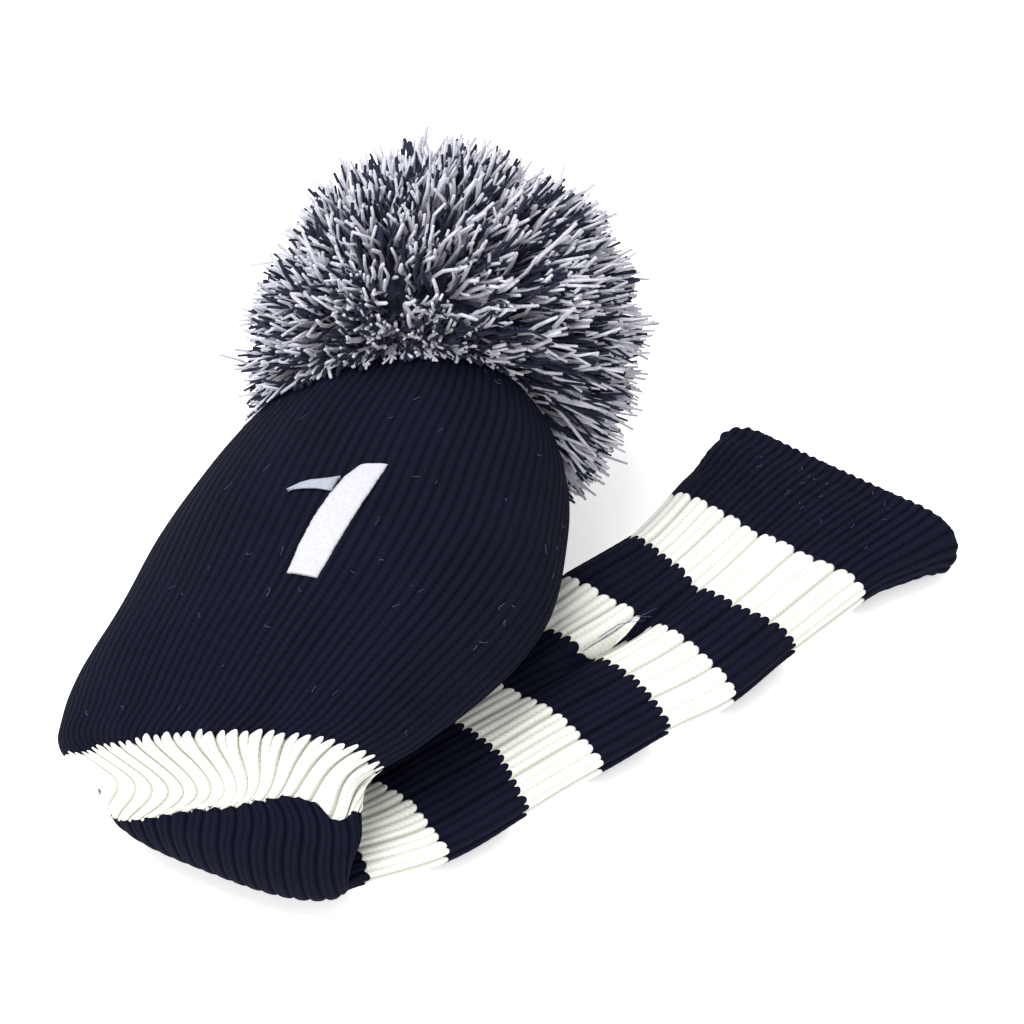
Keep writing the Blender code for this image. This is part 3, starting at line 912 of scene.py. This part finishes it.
def hair_mesh(name, lines, thickness, radius, finish, body):
    """Thin four-sided hairs along rows of points, as one piece that rides a body."""
    curve = bpy.data.curves.new(name, "CURVE")
    curve.dimensions = "3D"
    curve.bevel_depth = radius
    curve.bevel_resolution = 0
    curve.use_fill_caps = True
    count = lines.shape[1]
    for line, thick in zip(lines, thickness):
        spline = curve.splines.new("POLY")
        spline.points.add(count - 1)
        spline.points.foreach_set("co", np.hstack([line, np.ones((count, 1))]).ravel())
        spline.points.foreach_set("radius", thick)
    drawn = new_object(name + "_curve", curve)
    graph = bpy.context.evaluated_depsgraph_get()
    mesh = bpy.data.meshes.new_from_object(drawn.evaluated_get(graph))
    bpy.data.objects.remove(drawn)
    bm = bmesh.new()
    bm.from_mesh(mesh)
    bmesh.ops.remove_doubles(bm, verts=bm.verts, dist=1e-6)
    bm.to_mesh(mesh)
    bm.free()
    mesh.shade_smooth()
    mesh.materials.clear()
    mesh.materials.append(finish)
    made = new_object(name, mesh)
    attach(made, body)
    return made


def lying_hairs(dice, place, share, stray, lift):
    """Rows of five points that wander over the fabric from a place and a share."""
    steps = np.linspace(-0.5, 0.5, 5)
    count = len(place)
    turn = dice.uniform(0, math.pi, count)
    bend = dice.uniform(-1, 1, count)
    rows = []
    for step in steps:
        here = place + stray * (step * np.cos(turn) + bend * step**2)
        there = share + 0.055 * stray * (step * np.sin(turn) + bend * step**2)
        angle = even_angle(here, there % 1)
        rise = lift * (0.6 + 1.2 * np.abs(step) * dice.uniform(0, 1, count))
        rows.append(fabric_point(here, angle) + fabric_normal(here, angle) * rise[:, None])
    return np.stack(rows, axis=1)


lint_fibre = new_finish("pale_lint_fibre")
lint_tint = object_noise(lint_fibre, 90.0, 1.0)
lint_colour = mixed_colour(lint_fibre, lint_tint.outputs[0], linear("#1b2036"), linear("#6c7592"))
lint_shader = add_node(
    lint_fibre,
    "ShaderNodeBsdfPrincipled",
    {"Base Color": lint_colour.outputs[2], "Roughness": 0.8, "Specular IOR Level": 0.2},
)
add_node(lint_fibre, "ShaderNodeOutputMaterial", {0: lint_shader.outputs[0]})

lint_dice = np.random.default_rng(31)
hair_mesh(
    "shell_lint",
    lying_hairs(
        lint_dice,
        lint_dice.uniform(3.0, 9.3, LINT),
        lint_dice.uniform(0.25, 0.78, LINT),
        lint_dice.uniform(0.04, 0.14, LINT),
        0.0006,
    ),
    np.ones((LINT, 5)),
    LINT_RADIUS,
    lint_fibre,
    "head",
)
NECK_LINT = 26
hair_mesh(
    "neck_lint",
    lying_hairs(
        lint_dice,
        lint_dice.uniform(21.3, 22.6, NECK_LINT),
        lint_dice.uniform(-0.18, 0.18, NECK_LINT) % 1,
        lint_dice.uniform(0.05, 0.15, NECK_LINT),
        0.0012,
    ),
    np.ones((NECK_LINT, 5)),
    LINT_RADIUS,
    lint_fibre,
    "neck",
)
LOOSE_PATHS = (  # places and shares that each loose fibre passes over, and its height there
    ((18.30, 0.976, 0.000), (18.65, 0.980, 0.002), (18.95, 0.983, 0.003), (19.30, 0.990, 0.002)),
    ((18.45, 0.972, 0.000), (18.70, 0.983, 0.002), (19.05, 0.980, 0.003), (19.20, 0.996, 0.001)),
    ((18.60, 0.968, 0.001), (18.85, 0.975, 0.003), (19.00, 0.984, 0.002), (19.12, 0.992, 0.001)),
)
loose_rows = np.array(LOOSE_PATHS)
loose_place, loose_share, loose_lift = loose_rows.reshape(-1, 3).T
loose_angle = even_angle(loose_place, loose_share)
loose_points = fabric_point(loose_place, loose_angle)
loose_points += fabric_normal(loose_place, loose_angle) * loose_lift[:, None]
hair_mesh(
    "pleat_loose_fibres",
    loose_points.reshape(len(LOOSE_PATHS), 4, 3),
    np.tile([1.0, 0.9, 0.8, 0.5], (len(LOOSE_PATHS), 1)),
    LOOSE_RADIUS,
    lint_fibre,
    "neck",
)

# ---------------------------------------------------------------- parts hidden inside
# The fleece lining, the stabiliser behind the numeral, the draw cord, and the button, cord,
# knot and binding that hold the pom-pom are plain stock parts, dyed navy or left white.


def plain_stock(name, dark, light, roughness, grain):
    """Stock trimmings: an uneven dyed surface with a fine grain of the size given."""
    made = new_finish(name)
    uneven = object_noise(made, 1 / grain, 3.0)
    colour = mixed_colour(made, uneven.outputs[0], linear(dark), linear(light))
    raised = add_node(
        made,
        "ShaderNodeBump",
        {"Height": uneven.outputs[0], "Strength": 0.5, "Distance": grain / 3},
    )
    shader = add_node(
        made,
        "ShaderNodeBsdfPrincipled",
        {
            "Base Color": colour.outputs[2],
            "Roughness": roughness,
            "Normal": raised.outputs[0],
        },
    )
    add_node(made, "ShaderNodeOutputMaterial", {0: shader.outputs[0]})
    return made


navy_fleece = plain_stock("navy_brushed_fleece", "#11131e", "#262a3c", 1.0, 0.0012)
white_backing = plain_stock("white_felt_stabiliser", "#cfcfcf", "#efefef", 1.0, 0.0008)
navy_nylon = plain_stock("navy_moulded_nylon", "#12141f", "#1c2030", 0.4, 0.0015)
navy_cord = plain_stock("navy_twisted_polyester_cord", "#0e101b", "#262a40", 0.85, 0.0006)
for stock_finish, stock_nodes in (
    (navy_fleece, ("crown_lining",)),
    (white_backing, ("numeral_backing",)),
    (navy_nylon, ("pom_anchor_button",)),
    (navy_cord, ("crown_draw_cord", "pom_tie_cord", "pom_tie_knot", "pom_binding_loop")),
):
    for stock_node in stock_nodes:
        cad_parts[stock_node].data.materials.clear()
        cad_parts[stock_node].data.materials.append(stock_finish)

# ---------------------------------------------------------------- pom-pom
# A full ball of cut acrylic yarn, navy and pale grey wound together, bound in the middle and
# trimmed by hand. The strands splay from the binding and lie aside where the crown pushes in.
POM_RADIUS = 0.062
POM_AHEAD = 0.007
POM_SETTLE = 0.001
POM_SPREAD = 0.06
POM_SPREAD_OVER = 0.7
POM_SAG = 0.5
YARN_RADIUS = 0.00058
STRANDS = 3000  # to each of the four windings
STRAND_POINTS = 8
HEAD_ROOM = 0.0016
CORE_ROOM = 0.010
LEAN_MOST = 0.013  # a strand that would have to move further isn't there
YARN_HEART = np.array([-0.0070, 0.0058, -0.0010])  # the strands splay from a little aside
TUFTS = 340
TUFT_PULL = 0.38
TUFT_LEAN = 0.13
# Strands over the shell are trimmed back to here: degrees round it, and the place along it.
TRIM_LINE = (
    (-90, 5.0), (-11, 3.3), (7, 2.4), (40, 2.9), (74, 3.5), (113, 4.3), (150, 5.0), (270, 5.0),
)
TRIM_ROOM = 1.7  # only strands within this many times the shell's own size are trimmed

crown_centre, crown_travel, _, _ = (a[0] for a in tube_axes(tube_sections(np.zeros(1))))
tie = -crown_travel
turn = math.radians(HEAD_HEADING)
pom_middle = np.array(
    [
        crown_centre[0] + POM_AHEAD * math.cos(turn),
        crown_centre[1] + POM_AHEAD * math.sin(turn),
        POM_RADIUS - POM_SETTLE,
    ]
)


def yarn_reach(direction):
    back = -(direction @ tie) - direction[:, 2] * POM_SAG
    share = np.clip(back / POM_SPREAD_OVER, 0, 1)
    return POM_RADIUS * (1 + POM_SPREAD * share * share * (3 - 2 * share))


ROOM_PLACES = np.linspace(0, 7.5, 46)
room_sections = tube_sections(ROOM_PLACES)
room_centre, room_travel, room_right, room_top = tube_axes(room_sections)


def clear_of_head(points, room):
    """Points moved out of the head in their own section, how far, and which lie over the shell."""
    offset = points[:, None, :] - room_centre[None]
    ahead = (offset * room_travel[None]).sum(axis=2)
    nearest = np.argmin(np.abs(ahead) + 0.2 * np.linalg.norm(offset, axis=2), axis=1)
    picked = np.arange(len(points))
    off = offset[picked, nearest]
    x = (off * room_right[nearest]).sum(axis=1)
    y = (off * room_top[nearest]).sum(axis=1)
    half, over, under, square = room_sections[nearest, 6:10].T
    tall = np.where(y > 0, over, under) + room
    size = (np.abs(x / (half + room)) ** square + np.abs(y / tall) ** square) ** (1 / square)
    inside = (size < 1) & (ahead[picked, nearest] > -0.002)
    grow = np.where(inside, 1 / np.maximum(size, 0.05) - 1, 0.0)
    shift = room_right[nearest] * (x * grow)[:, None] + room_top[nearest] * (y * grow)[:, None]
    angle = np.degrees(np.arctan2(y / tall, x / half))
    angle = np.where(angle < -90, angle + 360, angle)
    over_shell = (ROOM_PLACES[nearest] > np.interp(angle, *np.array(TRIM_LINE).T)) & (
        size < TRIM_ROOM
    )
    return points + shift, np.linalg.norm(shift, axis=1), over_shell


tuft_dice = np.random.default_rng(17)
tuft_heads = tuft_dice.normal(size=(TUFTS, 3))
tuft_heads /= np.linalg.norm(tuft_heads, axis=1)[:, None]
tuft_leans = tuft_heads + tuft_dice.normal(scale=TUFT_LEAN, size=(TUFTS, 3))
tuft_lengths = tuft_dice.uniform(0.93, 1.03, TUFTS)


def yarn_strands(name, finish, seed, longest, curl):
    """One winding's strands: each bows a little, and ends in a soft tapered tip."""
    dice = np.random.default_rng(seed)
    direction = dice.normal(size=(STRANDS, 3))
    direction /= np.linalg.norm(direction, axis=1)[:, None]
    tuft = np.argmax(direction @ tuft_heads.T, axis=1)
    direction = direction * (1 - TUFT_PULL) + tuft_leans[tuft] * TUFT_PULL
    direction /= np.linalg.norm(direction, axis=1)[:, None]
    reach = yarn_reach(direction) * dice.uniform(0.88, longest, STRANDS) * tuft_lengths[tuft]
    for _ in range(6):
        _, _, too_long = clear_of_head(pom_middle + direction * reach[:, None], HEAD_ROOM)
        reach = np.where(too_long, reach * 0.88, reach)
    tangle = direction + dice.normal(scale=0.10, size=(STRANDS, 3))
    tangle /= np.linalg.norm(tangle, axis=1)[:, None]
    side = np.cross(direction, dice.normal(size=(STRANDS, 3)))
    side /= np.linalg.norm(side, axis=1)[:, None]
    bow = dice.normal(scale=curl, size=STRANDS) * dice.choice([1.0, 1.0, 2.2], STRANDS)
    wave = dice.uniform(0, 2 * math.pi, STRANDS)
    droop = dice.uniform(0.0, 0.004, STRANDS)
    thick = dice.uniform(0.8, 1.2, STRANDS)
    steps = np.linspace(0, 1, STRAND_POINTS)
    root = pom_middle + YARN_HEART + tangle * (0.36 * reach)[:, None]
    tip = pom_middle + direction * reach[:, None]
    line = root[:, None] + (tip - root)[:, None] * steps[None, :, None]
    sway = bow[:, None] * steps**2 + 0.0015 * np.sin(wave[:, None] + steps * 8) * steps
    curl_side = np.cross(side, direction)
    twist = 0.0015 * np.cos(wave[:, None] * 2 + steps * 9) * steps
    line = line + side[:, None] * sway[:, :, None] + curl_side[:, None] * twist[:, :, None]
    line[:, :, 2] -= droop[:, None] * steps**2
    floor = dice.uniform(0.0008, 0.004, STRANDS)
    line[:, :, 2] = np.maximum(line[:, :, 2], floor[:, None])
    placed, moved, over = clear_of_head(line.reshape(-1, 3), HEAD_ROOM)
    line = placed.reshape(STRANDS, STRAND_POINTS, 3)
    moved = moved.reshape(STRANDS, STRAND_POINTS)
    over = over.reshape(STRANDS, STRAND_POINTS)[:, -3:].any(axis=1)
    kept = (moved.max(axis=1) < LEAN_MOST) & ~too_long & ~over
    taper = np.array([1.0, 1.0, 1.0, 1.0, 1.05, 1.05, 1.0, 0.8])
    made = hair_mesh(
        name, line[kept], thick[kept, None] * taper[None], YARN_RADIUS, finish, "pom"
    )
    return made


def cut_yarn(name, hollow, crest, sheen):
    """Cut acrylic yarn: a dull, fuzzy strand. Its ply is drawn at 0.7 mm, a little coarse."""
    made = new_finish(name)
    ply = object_noise(made, 1400.0, 3.0, 0.7)
    tuft = object_noise(made, 220.0, 2.0)
    height = math_node(made, "MULTIPLY_ADD", ply.outputs[0], 0.5, tuft.outputs[0])
    shade = add_node(made, "ShaderNodeMapRange", {0: height.outputs[0], 1: 0.45, 2: 1.05})
    colour = mixed_colour(made, shade.outputs[0], linear(hollow), linear(crest))
    raised = add_node(
        made,
        "ShaderNodeBump",
        {"Height": ply.outputs[0], "Strength": 0.6, "Distance": 0.0003},
    )
    shader = add_node(
        made,
        "ShaderNodeBsdfPrincipled",
        {
            "Base Color": colour.outputs[2],
            "Roughness": 0.9,
            "Specular IOR Level": 0.2,
            "Sheen Weight": 0.25,
            "Sheen Tint": linear(sheen),
            "Normal": raised.outputs[0],
        },
    )
    add_node(made, "ShaderNodeOutputMaterial", {0: shader.outputs[0]})
    return made


grey_yarn = cut_yarn("pale_grey_cut_yarn", "#9fa0ae", "#dedee6", "#ffffff")
navy_yarn = cut_yarn("navy_cut_yarn", "#0f111c", "#2c2f44", "#8b90ac")
grey_strands = yarn_strands("pom_grey_strands_1", grey_yarn, 21, 1.03, 0.0045)
yarn_strands("pom_grey_strands_2", grey_yarn, 22, 1.00, 0.0036)
navy_strands = yarn_strands("pom_navy_strands_1", navy_yarn, 23, 1.00, 0.0030)
yarn_strands("pom_navy_strands_2", navy_yarn, 24, 0.97, 0.0025)
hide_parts("pom_yarn_crown_half")
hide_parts("pom_yarn_outer_half")

bm = bmesh.new()
bmesh.ops.create_icosphere(bm, subdivisions=5, radius=1.0)
bm.verts.ensure_lookup_table()
core_direction = np.array([vert.co for vert in bm.verts])
core_dice = np.random.default_rng(31)
core_size = yarn_reach(core_direction) * core_dice.uniform(0.60, 0.68, len(core_direction))
core_points = pom_middle + core_direction * core_size[:, None]
_, core_moved, core_over = clear_of_head(core_points, CORE_ROOM)
core_back = (core_moved > 0) | core_over
core_size = np.where(core_back, core_size * 0.45, core_size)
core_points = pom_middle + core_direction * core_size[:, None]
core_points, _, _ = clear_of_head(core_points, HEAD_ROOM)
core_points[:, 2] = np.maximum(core_points[:, 2], 0.001)
for vert, point in zip(bm.verts, core_points):
    vert.co = point
core_mesh = bpy.data.meshes.new("pom_yarn_core")
bm.to_mesh(core_mesh)
bm.free()
core_mesh.materials.append(navy_yarn)
pom_core = new_object("pom_yarn_core", core_mesh)
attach(pom_core, "pom")

# ---------------------------------------------------------------- floor, light and camera
# A plain white floor and a big soft light overhead, as for a catalogue. The camera looks
# down on the cover from its near left side.
STUDIO_TARGET = Vector((0.042, 0.013, 0.0))
CAMERA_AWAY = 0.65
CAMERA_LOOK = Vector((0.4777, 0.5692, -0.6691))

bm = bmesh.new()
bmesh.ops.create_grid(bm, x_segments=1, y_segments=1, size=4.0)
floor_mesh = bpy.data.meshes.new("studio_floor")
bm.to_mesh(floor_mesh)
bm.free()
white_paper = new_finish("white_studio_paper")
paper_shader = add_node(
    white_paper,
    "ShaderNodeBsdfPrincipled",
    {
        "Base Color": linear("#f6f6f6"),
        "Roughness": 1.0,
        "Specular IOR Level": 0.0,
        "Emission Color": linear("#ffffff"),
        "Emission Strength": 0.45,
    },
)
add_node(white_paper, "ShaderNodeOutputMaterial", {0: paper_shader.outputs[0]})
floor_mesh.materials.append(white_paper)
studio_floor = new_object("studio_floor", floor_mesh)
studio_floor.location.z = -0.0003

world = bpy.data.worlds.new("studio")
world.use_nodes = True
world.node_tree.nodes["Background"].inputs[0].default_value = (1.0, 1.0, 1.0, 1.0)
world.node_tree.nodes["Background"].inputs[1].default_value = 0.75
bpy.context.scene.world = world


def soft_light(name, place, size, power):
    lamp = bpy.data.lights.new(name, "AREA")
    lamp.shape = "DISK"
    lamp.size = size
    lamp.energy = power
    made = new_object(name, lamp)
    made.location = place
    made.rotation_euler = (STUDIO_TARGET - Vector(place)).to_track_quat("-Z", "Y").to_euler()


soft_light("overhead_softbox", (-0.25, 0.25, 1.3), 1.0, 16.0)
soft_light("left_softbox", (-1.1, -0.5, 0.8), 0.9, 7.0)

camera = bpy.data.cameras.new("camera")
camera.lens = 70.0
camera.sensor_width = 36.0
camera.clip_start = 0.01
camera_object = new_object("camera", camera)
camera_object.location = STUDIO_TARGET - CAMERA_LOOK.normalized() * CAMERA_AWAY
camera_object.rotation_euler = CAMERA_LOOK.to_track_quat("-Z", "Y").to_euler()
bpy.context.scene.camera = camera_object
bpy.context.scene.view_settings.view_transform = "Standard"
